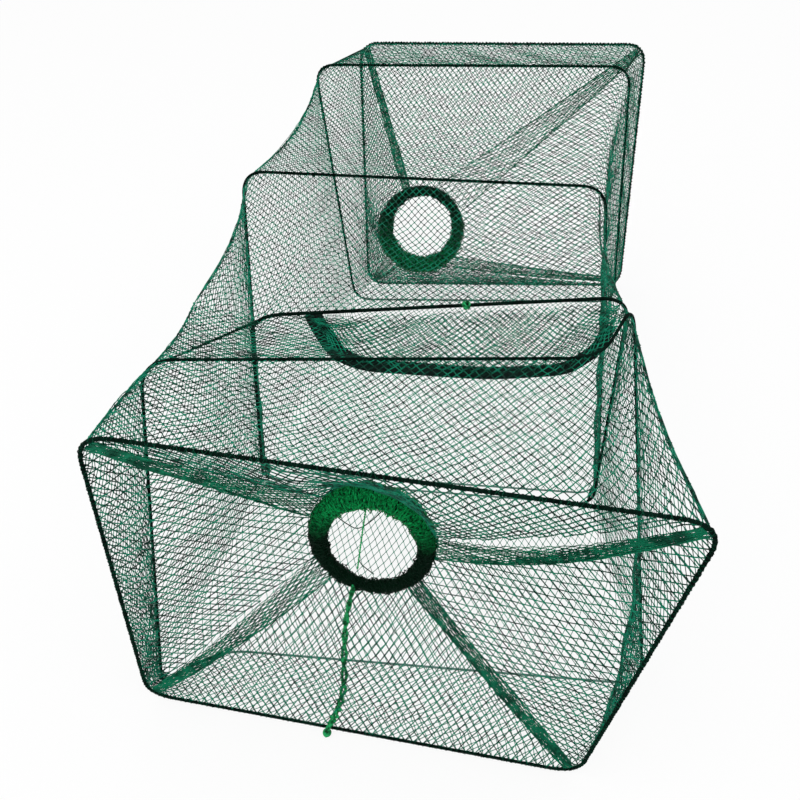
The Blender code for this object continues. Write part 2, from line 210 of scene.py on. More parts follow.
GREEN_CORD = twine_material("green_cord", (0.001, 0.060, 0.016), (0.020, 0.420, 0.130), 260, bump=0.5)
THROAT_GREEN = twine_material("throat_green", (0.010, 0.270, 0.070), (0.030, 0.500, 0.160), 400)
DARK_TAPE = twine_material(
    "dark_tape", (0.0006, 0.005, 0.004), (0.0015, 0.018, 0.012), 300, 0.85, bump=0.9, grain=2200.0
)


# Paths of the hoops, in the same corners and roundings as the solid model


def unit(v):
    return v / np.maximum(np.linalg.norm(v, axis=-1, keepdims=True), 1e-12)


def crosswise(along):
    """A direction at right angles to each of these."""
    return unit(np.cross(along, np.eye(3)[np.argmin(np.abs(along), axis=-1)]))


def around(right, up, angle):
    """Directions at angles from right towards up."""
    return right * np.cos(angle)[..., None] + up * np.sin(angle)[..., None]


def leaning_axes(turn, lean):
    """Directions across, and up along the lean."""
    turn, lean = math.radians(turn), math.radians(lean)
    across = np.array((math.cos(turn), math.sin(turn), 0.0))
    back = np.array((-math.sin(turn), math.cos(turn), 0.0))
    return across, back * math.sin(lean) + np.array((0, 0, math.cos(lean)))


def hoop_corners(pose, height):
    """A flat hoop's corners: left foot, right foot, right top and left top."""
    across, rise = leaning_axes(pose["turn"], pose["lean"])
    foot = np.array((*pose["foot"], height))
    top = foot + rise * HOOP_HEIGHT + across * pose["skew"]
    half = across * HOOP_WIDTH / 2
    return [foot - half, foot + half, top + half, top - half]


def corner_at(corner, height):
    side, right, along = corner
    return np.array((side * HOOP_WIDTH / 2 + right, along, height))


def named_corners(corners):
    return [
        corner_at(corner, HOOP_WIRE / 2 if "foot" in place else TIED_TOP_HEIGHT)
        for place, corner in corners.items()
    ]


def corner_arc(corners, i, radius=CORNER_RADIUS):
    """A rounded corner, from radius before it to radius after it."""
    corner = corners[i]
    before = corners[i - 1] - corner
    after = corners[(i + 1) % len(corners)] - corner
    long_before, long_after = np.linalg.norm(before), np.linalg.norm(after)
    reach = min(radius, long_before * EDGE_SHARE, long_after * EDGE_SHARE)
    start = corner + before / long_before * reach
    end = corner + after / long_after * reach
    t = np.linspace(0, 1, ARC_POINTS)[:, None]
    return start * (1 - t) ** 2 + corner * 2 * t * (1 - t) + end * t ** 2


def corner_middle(corners, i):
    return corner_arc(corners, i)[ARC_MIDDLE]


def whole_loop(corners, first_radius):
    """A hoop's path, with the rounding of its first corner."""
    radii = [first_radius] + [CORNER_RADIUS] * (len(corners) - 1)
    return np.concatenate([corner_arc(corners, i, radius) for i, radius in enumerate(radii)])


def sampler(path):
    """A function that gives the points at shares of a path's length."""
    path = np.asarray(path, float)
    along = np.concatenate([[0], np.cumsum(np.linalg.norm(np.diff(path, axis=0), axis=1))])
    along /= along[-1]

    def at(share):
        return np.stack([np.interp(share, along, path[:, k]) for k in range(path.shape[1])], -1)

    return at


def side_path(corners, stops):
    """Path along a hoop from the middle of its first stop's rounding to that of its last."""
    pieces = []
    backwards = stops[0] > stops[-1] or (len(stops) == 2 and (stops[1] - stops[0]) % len(corners) != 1)
    for k, i in enumerate(stops):
        arc = corner_arc(corners, i)
        if backwards:
            arc = arc[::-1]
        if k == 0:
            arc = arc[ARC_MIDDLE:]
        elif k == len(stops) - 1:
            arc = arc[: ARC_MIDDLE + 1]
        pieces.append(arc)
    return np.concatenate(pieces)


def four_sides(corners):
    stops = {"floor": [0, 1], "right": [1, 2], "top": [3, 2], "left": [0, 3]}
    return {side: sampler(side_path(corners, ends)) for side, ends in stops.items()}


front = hoop_corners(FRONT_POSE, FRONT_WIRE / 2 * math.cos(math.pi / 8))
second = named_corners(SECOND_CORNERS)
third = named_corners(THIRD_CORNERS)
fourth = hoop_corners(FOURTH_POSE, HOOP_WIRE / 2)
fifth = hoop_corners(FIFTH_POSE, HOOP_WIRE / 2)
rear = hoop_corners(REAR_POSE, HOOP_WIRE / 2)
shoulder = corner_at(NET_SHOULDER, TIED_TOP_HEIGHT - SHOULDER_DROP)


def on_third_top(share):
    """A point on the third hoop's top, by its share of the way from the left."""
    return third[3] + (third[2] - third[3]) * share


# The edges that the net is laced to. At the third hoop it runs wide of the left top corner, by the shoulder
FLAT_HOOPS = {1: front, 3: third, 4: fourth, 5: fifth, 6: rear}
SIDES = {number: four_sides(corners) for number, corners in FLAT_HOOPS.items()}
SIDES[2] = {
    "floor": sampler(side_path(second, [0, 1, 2])),
    "right": sampler(side_path(second, [2, 3])),
    "top": sampler(side_path(second, [5, 4, 3])),
    "left": sampler(side_path(second, [0, 5])),
}
SIDES[3]["left"] = sampler(np.vstack([corner_arc(third, 0)[: ARC_MIDDLE + 1][::-1], shoulder]))
SIDES[3]["top"] = sampler(np.vstack([shoulder, side_path(third, [3, 2])]))


# Threads, knots and nets as arrays: points, quads, triangles and the place of each point on its net

# How much of the UV square a strand and a knot take, and how much stays free round a part
STRAND_UV = 0.004
KNOT_UV = 0.003
UV_MARGIN = 0.02
KNOT_SIZES = (0.8, 1.2)
NOISE_SPAN = 9


def strands(starts, ends, start_uv, end_uv, radius, sides=3):
    """Thin prisms from starts to ends."""
    along = unit(ends - starts)
    first = crosswise(along)
    other = np.cross(along, first)
    ring = around(first[:, None], other[:, None], 2 * np.pi * np.arange(sides) / sides)
    points = np.concatenate([starts[:, None] + ring * radius, ends[:, None] + ring * radius], axis=1)
    base = (np.arange(len(starts)) * 2 * sides)[:, None]
    k = np.arange(sides)
    after = (k + 1) % sides
    quads = np.stack([base + k, base + after, base + after + sides, base + k + sides], -1)
    spread = np.array([(0, 0), (1, 0), (0, 1), (1, 1)])[:sides] * STRAND_UV
    uv = np.concatenate([start_uv[:, None] + spread, end_uv[:, None] + spread], axis=1)
    return points.reshape(-1, 3), quads.reshape(-1, 4), np.zeros((0, 3), int), uv.reshape(-1, 2)


OCTAHEDRON = np.array([(1, 0, 0), (-1, 0, 0), (0, 1, 0), (0, -1, 0), (0, 0, 1), (0, 0, -1)], float)
OCTA_FACES = np.array(
    [(0, 2, 4), (2, 1, 4), (1, 3, 4), (3, 0, 4), (2, 0, 5), (1, 2, 5), (3, 1, 5), (0, 3, 5)]
)


def knots(centres, uv, radius):
    """Small octahedra of uneven size."""
    sizes = radius * rng.uniform(*KNOT_SIZES, (len(centres), 1, 1))
    points = centres[:, None] + OCTAHEDRON[None] * sizes
    faces = OCTA_FACES[None] + (np.arange(len(centres)) * len(OCTAHEDRON))[:, None, None]
    octa_uv = uv[:, None] + OCTAHEDRON[None, :, :2] * KNOT_UV
    return points.reshape(-1, 3), np.zeros((0, 4), int), faces.reshape(-1, 3), octa_uv.reshape(-1, 2)


def joined(parts):
    """Several parts as one that share the UV square."""
    points, quads, triangles, uvs = zip(*parts)
    firsts = np.cumsum([0] + [len(part_points) for part_points in points[:-1]])
    quads = [faces + first for faces, first in zip(quads, firsts)]
    triangles = [faces + first for faces, first in zip(triangles, firsts)]
    return tuple(np.concatenate(arrays) for arrays in (points, quads, triangles, uvs))


def merged(parts):
    """Several parts as one, each with its own band of the UV square."""
    banded = []
    for k, (points, quads, triangles, uv) in enumerate(parts):
        uv = uv * (1 - 2 * UV_MARGIN) + UV_MARGIN
        banded.append((points, quads, triangles, (uv + np.array((0, k))) / np.array((1, len(parts)))))
    return joined(banded)


def net_part(place, columns, rows, keep=None, twine=TWINE, knot=KNOT, slack=0.0003, drift=0.0):
    """Diamond net on the surface place(u, v): knots, and strands between them. slack moves single knots,
    and drift lets the whole net wander in its surface."""
    i, j = np.meshgrid(np.arange(2 * columns + 1), np.arange(2 * rows + 1), indexing="ij")
    u, v = i / (2 * columns), j / (2 * rows)
    # Slow uneven waves that leave each edge of the net on its own line
    wave_u = np.sin(2.1 * np.pi * u + 3.3 * v + 0.7) * np.sin(1.7 * np.pi * v + 1.3 * u)
    wave_v = np.sin(2.6 * np.pi * u + 0.4) * np.sin(np.pi * v)
    moved_u = np.clip(u + drift * wave_u * np.sin(np.pi * u), 0, 1)
    moved_v = np.clip(v + 2 * drift * wave_v, 0, 1)
    points = place(moved_u, moved_v) + rng.normal(0, slack, (*u.shape, 3))
    points[..., 2] = np.maximum(points[..., 2], LOWEST_KNOT)
    kept = (i + j) % 2 == 0
    if keep is not None:
        kept &= keep(moved_u, moved_v)
    uv = np.stack([u, v], -1)
    starts, ends = [], []
    low, high = slice(0, -1), slice(1, None)
    for here, there in (((low, low), (high, high)), ((high, low), (low, high))):
        both = kept[here] & kept[there]
        starts.append(np.concatenate([points[here][both], uv[here][both]], 1))
        ends.append(np.concatenate([points[there][both], uv[there][both]], 1))
    starts, ends = np.concatenate(starts), np.concatenate(ends)
    threads = strands(starts[:, :3], ends[:, :3], starts[:, 3:], ends[:, 3:], twine / 2)
    return joined([threads, knots(points[kept], uv[kept], knot)])


def smooth_noise(count, spread, weight):
    """Random numbers that change slowly: each is the sum of NOISE_SPAN neighbours, times weight."""
    raw = rng.normal(0, spread, count + NOISE_SPAN - 1)
    return np.convolve(raw, np.full(NOISE_SPAN, weight), "valid")


def line_part(path, thread, loose):
    """A thread along a path, wandering by loose to each side but for its ends."""
    count = len(path)
    wander = np.stack([smooth_noise(count, 1, 1 / 3) for _ in range(3)], -1)
    taper = np.sin(np.pi * np.linspace(0, 1, count))[:, None] ** 0.5
    line = path + wander * loose * taper
    line[:, 2] = np.maximum(line[:, 2], thread)
    uv = np.stack([np.linspace(0, 1, count), np.full(count, 0.5)], -1)
    return strands(line[:-1], line[1:], uv[:-1], uv[1:], thread / 2, 4)


def add_object(name, data):
    obj = bpy.data.objects.new(name, data)
    bpy.context.scene.collection.objects.link(obj)
    return obj


def mesh_piece(name, part, material):
    """A mesh object of a part's arrays."""
    points, quads, triangles, uv = part
    mesh = bpy.data.meshes.new(name)
    loops = np.concatenate([quads.ravel(), triangles.ravel()]).astype(np.int32)
    starts = np.concatenate([np.arange(len(quads)) * 4, len(quads) * 4 + np.arange(len(triangles)) * 3])
    mesh.vertices.add(len(points))
    mesh.vertices.foreach_set("co", points.astype(np.float32).ravel())
    mesh.loops.add(len(loops))
    mesh.loops.foreach_set("vertex_index", loops)
    mesh.polygons.add(len(starts))
    mesh.polygons.foreach_set("loop_start", starts.astype(np.int32))
    mesh.update(calc_edges=True)
    mesh.validate()
    layer = mesh.uv_layers.new(name="OFBake")
    layer.data.foreach_set("uv", uv[loops].astype(np.float32).ravel())
    mesh.shade_smooth()
    mesh.materials.append(material)
    return add_object(name, mesh)


# Net walls between the hoops

OPPOSITE = {"floor": "top", "top": "floor", "left": "right", "right": "left"}
ENDS = {"floor": (0, 1), "right": (1, 2), "top": (3, 2), "left": (0, 3)}

# How far the net is drawn in at the corners of each bay, from left foot round to left top
CORNER_SAGS = {
    (1, 2): (0.000, 0.002, 0.007, -0.001),
    (2, 3): (0.006, 0.005, 0.001, 0.004),
    (3, 4): (0.002, 0.002, 0.010, 0.010),
    (4, 5): (0.018, 0.006, 0.008, 0.016),
    (5, 6): (0.001, 0.001, 0.003, 0.003),
}
# Sides of the bays: how far the net is drawn in half way along them, and rows of meshes
BAYS = {
    (1, 2): {"floor": (0, 10), "right": (0.002, 14), "top": (0.008, 16), "left": (0.003, 16)},
    (2, 3): {"floor": (0, 15), "right": (0.006, 10), "top": (0.006, 15), "left": (0.012, 15)},
    (3, 4): {"right": (0.008, 14), "top": (0.014, 21), "left": (0.010, 21)},
    (4, 5): {"floor": (0, 34), "right": (0.012, 26), "top": (0.018, 30), "left": (0.020, 30)},
    (5, 6): {"floor": (0, 5), "right": (0.003, 12), "top": (0.003, 14), "left": (0.003, 14)},
}
# The bay that crosses the joint between the front and rear sections
CROSSING = (4, 5)
ALSO_REPLACES = {(2, 3, "top"): ["net_2_4_shoulder"]}
# Side walls that meet the top in a gathered edge, and how far its threads wander
GATHERED = {
    (1, 2, "left"): 0.0008,
    (1, 2, "right"): 0.0008,
    (2, 3, "left"): 0.0008,
    (3, 4, "left"): 0.0008,
    (3, 4, "right"): 0.0007,
    (4, 5, "left"): 0.0008,
}
GATHERED_THREADS = 7
GATHERED_STEPS = 30
# How sharply a wall's depth changes towards its corners, and the height of its ripples
CORNER_POWER = 2.5
RIPPLE = 0.0016


def wall_surface(a, b, side):
    """The net between one side of hoops a and b, drawn in towards the tunnel's middle."""
    edge_a, edge_b = SIDES[a][side], SIDES[b][side]
    middle_a = (edge_a(0.5) + SIDES[a][OPPOSITE[side]](0.5)) / 2
    middle_b = (edge_b(0.5) + SIDES[b][OPPOSITE[side]](0.5)) / 2
    first_sag, last_sag = (CORNER_SAGS[(a, b)][corner] for corner in ENDS[side])
    middle_sag, _ = BAYS[(a, b)][side]

    def place(u, v):
        on_a, on_b = edge_a(u), edge_b(u)
        flat = on_a + (on_b - on_a) * v[..., None]
        middle = middle_a + (middle_b - middle_a) * v[..., None]
        inward = middle - flat
        inward[..., 1] = 0
        inward = unit(inward)
        ends = first_sag * (1 - u) + last_sag * u
        depth = middle_sag + (ends - middle_sag) * np.abs(2 * u - 1) ** CORNER_POWER
        ripple = RIPPLE * np.sin(31 * u + 9 * v) * np.sin(np.pi * v) * np.sin(np.pi * u)
        return flat + inward * (depth * np.sin(np.pi * v) + ripple)[..., None]

    return place


def inside(polygon, x, y):
    """True where (x, y) lies inside the polygon."""
    found = np.zeros(x.shape, bool)
    for k in range(len(polygon)):
        (x0, y0), (x1, y1) = polygon[k - 1], polygon[k]
        if y0 == y1:
            continue
        crosses = ((y0 > y) != (y1 > y)) & (x < (x1 - x0) * (y - y0) / (y1 - y0) + x0)
        found ^= crosses
    return found


def outside_of(place, polygon):
    def keep(u, v):
        points = place(u, v)
        return ~inside(polygon, points[..., 0], points[..., 1])

    return keep


def blend_between(piece, bodies, first_edge, last_edge, direction):
    """Net that crosses a joint: its placement is baked into its points; bodies, first_edge, last_edge and
    direction are not used.
    """
    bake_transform(piece)


def blend_crossing(piece, side):
    across, _ = leaning_axes((FOURTH_POSE["turn"] + FIFTH_POSE["turn"]) / 2, 0)
    back = np.cross((0, 0, 1), across)
    edges = [SIDES[hoop][side](np.linspace(0, 1, 21)) for hoop in CROSSING]
    blend_between(piece, ("front_section", "rear_section"), *edges, back)


def gathered_edge(a, b, side):
    """Threads drawn together where two walls meet, from one hoop's top corner to the next."""
    place = wall_surface(a, b, side)
    path = place(np.ones(GATHERED_STEPS), np.linspace(0, 1, GATHERED_STEPS))
    return joined([line_part(path, TWINE * 0.9, GATHERED[(a, b, side)]) for _ in range(GATHERED_THREADS)])


def build_walls():
    opening = [*TAPE_PATH, third[2][:2], on_third_top(HATCH_LEFT)[:2]]
    for (a, b), sides in BAYS.items():
        for side, (_, rows) in sides.items():
            place = wall_surface(a, b, side)
            columns = TOP_COLUMNS if side in ("floor", "top") else SIDE_COLUMNS
            keep = outside_of(place, opening) if (a, b, side) == (2, 3, "top") else None
            twine = SLACK_TWINE if side == "right" else TWINE
            parts = [net_part(place, columns, rows, keep, twine, drift=WALL_DRIFT)]
            if (a, b, side) in GATHERED:
                parts.append(gathered_edge(a, b, side))
            # The floor's netting gets the twine with painted light, brighter than the walls'
            material = LIT_FLOOR_NET if side == "floor" else NET_TWINE
            piece = mesh_piece(f"netting_{a}_{b}_{side}", merged(parts), material)
            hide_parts(f"net_{a}_{b}_{side}", *ALSO_REPLACES.get((a, b, side), []))
            if (a, b) == CROSSING:
                blend_crossing(piece, side)
            else:
                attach(piece, "rear_section" if a == 5 else "front_section")


# Funnels: four faces of even mesh cut to size, and between them the spare net folded into bands

# How far from the ring's centre faces and bands meet it
FACE_REACH = RING_RADIUS + RING_TUBE * 0.6
BAND_REACH = RING_RADIUS + RING_TUBE * 0.55


def ring_axes(ring):
    """A ring's centre, and its directions to the right, up and towards the front."""
    across, up = leaning_axes(ring["turn"], ring["tip"])
    return np.array(ring["centre"]), across, up, np.cross(across, up)


def on_circle(ring, angles, reach):
    """Points at angles round a ring's centre, in its plane; 0 is to the right and a quarter turn is up."""
    centre, across, up, _ = ring_axes(ring)
    return centre + around(across, up, angles) * reach


def funnel_face(edge, ring, span, sag):
    """Even net from one side of a hoop to an arc of the ring. Returns its surface and where net is kept."""
    start, end = edge(0.0), edge(1.0)
    run = unit(end - start)
    length = np.linalg.norm(end - start)
    first, last = np.radians(span)
    ring_start = (on_circle(ring, first, FACE_REACH) - start) @ run
    ring_end = (on_circle(ring, last, FACE_REACH) - start) @ run

    def place(u, v):
        part = (u * length - ring_start) / (ring_end - ring_start)
        within = np.clip(part, 0, 1)
        beyond = (part - within) * (ring_end - ring_start)
        on_ring = on_circle(ring, first + (last - first) * within, FACE_REACH) + run * beyond[..., None]
        on_hoop = edge(u)
        flat = on_hoop + (on_ring - on_hoop) * v[..., None]
        flat[..., 2] -= sag * np.sin(np.pi * v) * np.sin(np.pi * u)
        return flat

    def keep(u, v):
        low = ring_start * v
        high = length + (ring_end - length) * v
        spare = MESH_WIDTH * 0.6
        return (u * length >= low - spare) & (u * length <= high + spare)

    return place, keep


def funnel_band(corner_path, ring, span, sag, lift=0.0, shrink=1.0):
    """The spare net's band from a hoop's corner to an arc of the ring."""
    first, last = np.radians(span)
    facing = ring_axes(ring)[3]
    at_corner = sampler(corner_path)

    def place(u, v):
        side = 0.5 + (u - 0.5) * shrink
        on_ring = on_circle(ring, first + (last - first) * side, BAND_REACH)
        on_hoop = at_corner(side)
        flat = on_hoop + (on_ring - on_hoop) * v[..., None]
        fold = 0.0008 * np.sin(2 * np.pi * (1.3 * u + 1.1 * v))
        flat = flat + facing * ((lift + fold) * np.sin(np.pi * v))[..., None]
        flat[..., 2] -= sag * np.sin(np.pi * v)
        return flat

    return place


# Hoop, its number among the sides, ring, and the bodies that the funnel joins
FUNNELS = {
    "front": (front, 1, FRONT_RING, ("front_section", "front_throat")),
    "rear": (rear, 6, REAR_RING, ("rear_section", "rear_throat")),
}
# A face: the ring's arc in degrees, meshes across and along, and sag
FACES = {
    "front": {
        "floor": ((237, 305), TOP_COLUMNS, 13, 0.006),
        "right": ((320, 345), 37, 12, 0.006),
        "top": ((142, 10), TOP_COLUMNS, 12, 0.010),
        "left": ((207, 169), 37, 11, 0.004),
    },
    "rear": {
        "floor": ((240, 292), TOP_COLUMNS, 17, 0.004),
        "right": ((318, 380), SIDE_COLUMNS, 16, 0.004),
        "top": ((107, 76), TOP_COLUMNS, 16, 0.004),
        "left": ((214, 118), SIDE_COLUMNS, 16, 0.004),
    },
}
# A band, in the order of the hoop's corners: the ring's arc, sag, and which of its edges are folded
BANDS = {
    "front": {
        "lower_left": ((207, 237), 0.010, "last"),
        "lower_right": ((304, 321), 0.004, "both"),
        "upper_right": ((345, 370), 0.018, "first"),
        "upper_left": ((142, 169), 0.001, "last"),
    },
    "rear": {
        "lower_left": ((214, 240), 0.004, "last"),
        "lower_right": ((292, 318), 0.004, "both"),
        "upper_right": ((20, 76), 0.002, "both"),
        "upper_left": ((107, 118), 0.002, "both"),
    },
}
# A band's layers: how far in front each lies, its share of the band's width, and meshes across
LAYERS = ((0.000, 1.00, 6), (0.003, 0.86, 7))
BAND_ROWS = 17
# Points of a corner that a band takes to each side of its middle, and how far inwards they move
BAND_HALF = 2
BAND_INSET = 0.012
FOLDS = {"first": (0.03,), "last": (0.97,), "both": (0.03, 0.97)}
FOLD_THREADS = 4
FOLD_STEPS = 40


def band_part(hoop, corner, ring, span, sag, folds):
    """A band's layers of net, and the threads drawn together along its folds."""
    arc = corner_arc(hoop, corner)[ARC_MIDDLE - BAND_HALF : ARC_MIDDLE + BAND_HALF + 1]
    arc = arc + (sum(hoop) / 4 - arc) * BAND_INSET
    parts = []
    for lift, shrink, columns in LAYERS:
        place = funnel_band(arc, ring, span, sag, lift, shrink)
        parts.append(net_part(place, columns, BAND_ROWS, twine=BAND_TWINE, knot=BAND_TWINE, slack=0.0002))
    place = funnel_band(arc, ring, span, sag)
    for edge in FOLDS[folds]:
        path = place(np.full(FOLD_STEPS, edge), np.linspace(0, 1, FOLD_STEPS))
        parts += [line_part(path, TWINE, 0.0006) for _ in range(FOLD_THREADS)]
    return merged(parts)


def build_funnels():
    for end, (hoop, number, ring, bodies) in FUNNELS.items():
        inwards = unit(np.cross(hoop[1] - hoop[0], hoop[3] - hoop[0]))
        inwards = inwards * np.sign((ring["centre"] - sum(hoop) / 4) @ inwards)
        ring_points = on_circle(ring, np.linspace(0, 2 * np.pi, 41), FACE_REACH)
        stretch = (bodies, np.array(hoop), ring_points, inwards)
        for side, (span, columns, rows, sag) in FACES[end].items():
            place, keep = funnel_face(SIDES[number][side], ring, span, sag)
            part = net_part(place, columns, rows, keep, twine=FUNNEL_TWINE, drift=FUNNEL_DRIFT)
            piece = mesh_piece(f"{end}_funnel_{side}", part, NET_TWINE)
            if side == "floor":
                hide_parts(f"{end}_funnel_net")
            blend_between(piece, *stretch)
        for corner, (name, band) in enumerate(BANDS[end].items()):
            piece = mesh_piece(f"{end}_funnel_band_{name}", band_part(hoop, corner, ring, *band), FOLD_NET)
            blend_between(piece, *stretch)


# Wires, lacing and cords


def spline_curve(name, path, radius, material, closed=False, bevel=3, radii=None):
    """A round bar along a path, as a curve object."""
    curve = bpy.data.curves.new(name, "CURVE")
    curve.dimensions = "3D"
    curve.bevel_depth = radius
    curve.bevel_resolution = bevel
    curve.use_fill_caps = not closed
    spline = curve.splines.new("POLY")
    spline.points.add(len(path) - 1)
    values = np.ones((len(path), 4), np.float32)
    values[:, :3] = path
    spline.points.foreach_set("co", values.ravel())
    if radii is not None:
        spline.points.foreach_set("radius", np.asarray(radii, np.float32))
    spline.use_cyclic_u = closed
    spline.use_smooth = True
    curve.materials.append(material)
    return add_object(name, curve)


def path_frames(path, closed):
    """Two directions across a path at each of its points, without sudden turns."""
    if closed:
        ahead, behind = np.roll(path, -1, 0), np.roll(path, 1, 0)
    else:
        ahead, behind = np.vstack([path[1:], path[-1:]]), np.vstack([path[:1], path[:-1]])
    along = unit(ahead - behind)
    first = np.zeros_like(path)
    current = crosswise(along[0])
    for k, direction in enumerate(along):
        current = unit(current - direction * (current @ direction))
        first[k] = current
    return first, np.cross(along, first)


def path_length(path):
    return np.linalg.norm(np.diff(path, axis=0), axis=1).sum()


def even_path(path, count, closed=True):
    """The path again, by count points evenly spread over it."""
    if closed:
        return sampler(np.vstack([path, path[:1]]))(np.arange(count) / count)
    return sampler(path)(np.linspace(0, 1, count))


def smooth_path(points, count):
    """A smooth curve through points, as a Catmull-Rom spline."""
    points = np.asarray(points, float)
    padded = np.vstack([2 * points[0] - points[1], points, 2 * points[-1] - points[-2]])
    made = []
    for k in range(len(points) - 1):
        p0, p1, p2, p3 = padded[k : k + 4]
        t = np.linspace(0, 1, count, endpoint=k == len(points) - 2)[:, None]
        bend = (2 * p0 - 5 * p1 + 4 * p2 - p3) * t ** 2 + (3 * p1 - p0 - 3 * p2 + p3) * t ** 3
        made.append(0.5 * (2 * p1 + (p2 - p0) * t + bend))
    return np.concatenate(made)


POINTS_PER_TURN = 9


def winding(name, path, radius, thread, pitch, material, body, wobble, way):
    """A thread wound unevenly round a closed path. radius may be a function of the share of its length."""
    turns = round(path_length(np.vstack([path, path[:1]])) / pitch)
    count = turns * POINTS_PER_TURN
    base = even_path(path, count)
    first, other = path_frames(base, True)
    drift = smooth_noise(count, wobble, 1 / 9)
    angle = way * (2 * np.pi * turns * np.arange(count) / count + drift * 3)
    uneven = 1 + 0.10 * np.sin(angle * 0.21) + rng.normal(0, 0.04, count)
    reach = (radius(np.arange(count) / count) if callable(radius) else radius) * uneven
    line = base + around(first, other, angle) * reach[:, None]
    line[:, 2] = np.maximum(line[:, 2], thread / 2)
    piece = spline_curve(name, line, thread / 2, material, True, 0)
    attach(piece, body)


# Hoops: corners, thickness, the share of it that is wire under lacing or net, and body
HOOPS = {
    "front_hoop": (front, FRONT_WIRE, 0.56, "front_section"),
    "second_hoop": (second, HOOP_WIRE, 0.75, "front_section"),
    "third_hoop": (third, HOOP_WIRE, 0.85, "front_section"),
    "fourth_hoop": (fourth, HOOP_WIRE, 0.95, "front_section"),
    "fifth_hoop": (fifth, HOOP_WIRE, 0.85, "rear_section"),
    "rear_hoop": (rear, HOOP_WIRE, 0.75, "rear_section"),
}
FOOT_WIRE = 0.6
# Lacing: pitch and thread, and how much longer its pitch is one way than the other
LACED = {"front_hoop": (0.0047, 0.0006), "fifth_hoop": (0.0055, 0.0009), "rear_hoop": (0.0046, 0.0016)}
LONGER_PITCH = 1.25


def build_hoops():
    for node, (corners, wire, bare, body) in HOOPS.items():
        path = whole_loop(corners, SHARED_FOOT_RADIUS if node == "second_hoop" else CORNER_RADIUS)
        shown = path
        if node != "front_hoop":
            # The run along the floor lies under netting and looks paler
            first = ARC_MIDDLE + (ARC_POINTS if node == "second_hoop" else 0)
            last = first + ARC_POINTS
            on_floor = path[first : last + 1]
            under = spline_curve(node + "_foot_wire", on_floor, wire / 2 * FOOT_WIRE, FADED_WIRE)
            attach(under, body)
            shown = np.vstack([path[last:], path[: first + 1]])
        piece = spline_curve(node + "_wire", shown, wire / 2 * bare, WIRE_COAT, node == "front_hoop", 4)
        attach(piece, body)
        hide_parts(node)
        if node in LACED:
            pitch, thread = LACED[node]
            reach = wire / 2 * bare + thread * 0.3
            for letter, way, turn_pitch in (("a", 1, pitch * LONGER_PITCH), ("b", -1, pitch)):
                name = f"{node}_lacing_{letter}"
                winding(name, path, reach, thread, turn_pitch, HOOP_LACING, body, 0.5, way)


# Rings: steps along the ring and round its tube, and the core's share of its thickness
RING_STEPS = 144
TUBE_STEPS = 20
CORE = 0.84
# Lumps in the core: waves along the ring and round the tube, and where they start
LUMPS = ((5, 1, 0.4), (11, 2, 1.9), (17, 1, 3.1), (29, 3, 0.7), (43, 2, 2.2))
# Nets round the core: meshes along the ring and round the tube, twist, and how far out they lie
WRAPS = ((80, 11, 2.0, 0.94), (64, 9, -3.0, 1.04), (96, 8, 5.0, 1.10))
WRAP_TWINE = 0.0008
WRAP_KNOT = 0.0007
WRAP_SLACK = 0.0012
# Threads wound over the nets: pitch, and which way round
RING_THREADS = ((0.0030, 1), (0.0042, -1))
RING_THREAD = 0.0010
THREAD_REACH = 1.06


def build_ring(node, ring, body, material):
    centre, across, up, facing = ring_axes(ring)
    level, rise, right, drawn_in = ring["wrap"]

    def tube(a):
        return RING_TUBE * (level + rise * np.sin(a) + right * np.cos(a))

    def middle(a):
        return RING_RADIUS - drawn_in * (0.2 + np.sin(a))

    def on_tube(a, b, reach):
        outward = (middle(a) + reach * np.cos(b))[..., None]
        return centre + around(across, up, a) * outward + facing * (reach * np.sin(b))[..., None]

    def wrap_surface(twist, reach):
        def place(u, v):
            a = 2 * np.pi * u
            b = 2 * np.pi * v + twist * a
            bulge = 1 + 0.07 * np.sin(9 * a + 2 * b) + 0.05 * np.sin(23 * a)
            return on_tube(a, b, tube(a) * reach * bulge)

        return place

    i, j = np.meshgrid(np.arange(RING_STEPS), np.arange(TUBE_STEPS), indexing="ij")
    a, b = 2 * np.pi * i / RING_STEPS, 2 * np.pi * j / TUBE_STEPS
    lumps = sum(
        0.10 * np.sin(k * a + shift) * np.cos(m * b + shift * 2) / (1 + 0.1 * k) for k, m, shift in LUMPS
    )
    points = on_tube(a, b, tube(a) * CORE * (1 + lumps))
    next_i, next_j = (i + 1) % RING_STEPS * TUBE_STEPS, (j + 1) % TUBE_STEPS
    quads = np.stack([i * TUBE_STEPS + j, next_i + j, next_i + next_j, i * TUBE_STEPS + next_j], -1)
    uv = np.stack([i / RING_STEPS, j / TUBE_STEPS], -1)
    core = (points.reshape(-1, 3), quads.reshape(-1, 4), np.zeros((0, 3), int), uv.reshape(-1, 2))
    piece = mesh_piece(node + "_core", core, RING_WRAP)
    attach(piece, body)
    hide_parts(node)

    wraps = [
        net_part(wrap_surface(twist, reach), columns, rows, None, WRAP_TWINE, WRAP_KNOT, WRAP_SLACK)
        for columns, rows, twist, reach in WRAPS
    ]
    piece = mesh_piece(node + "_wrap", merged(wraps), material)
    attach(piece, body)

    turn = 2 * np.pi * np.arange(RING_STEPS) / RING_STEPS
    circle = on_circle(ring, turn, middle(turn)[:, None])

    def reach_at(share):
        return tube(2 * np.pi * share) * THREAD_REACH

    for k, (pitch, way) in enumerate(RING_THREADS):
        name = f"{node}_thread_{k + 1}"
        winding(name, circle, reach_at, RING_THREAD, pitch, material, body, 0.7, way)


# Cords: points in a turn of the strands, their offset and radius as shares of the cord, and a turn's length
POINTS_PER_LAY = 12
STRAND_OFFSET = 0.25
STRAND_RADIUS = 0.27
CORD_LAY = 0.006
EDGE_LAY = 0.008


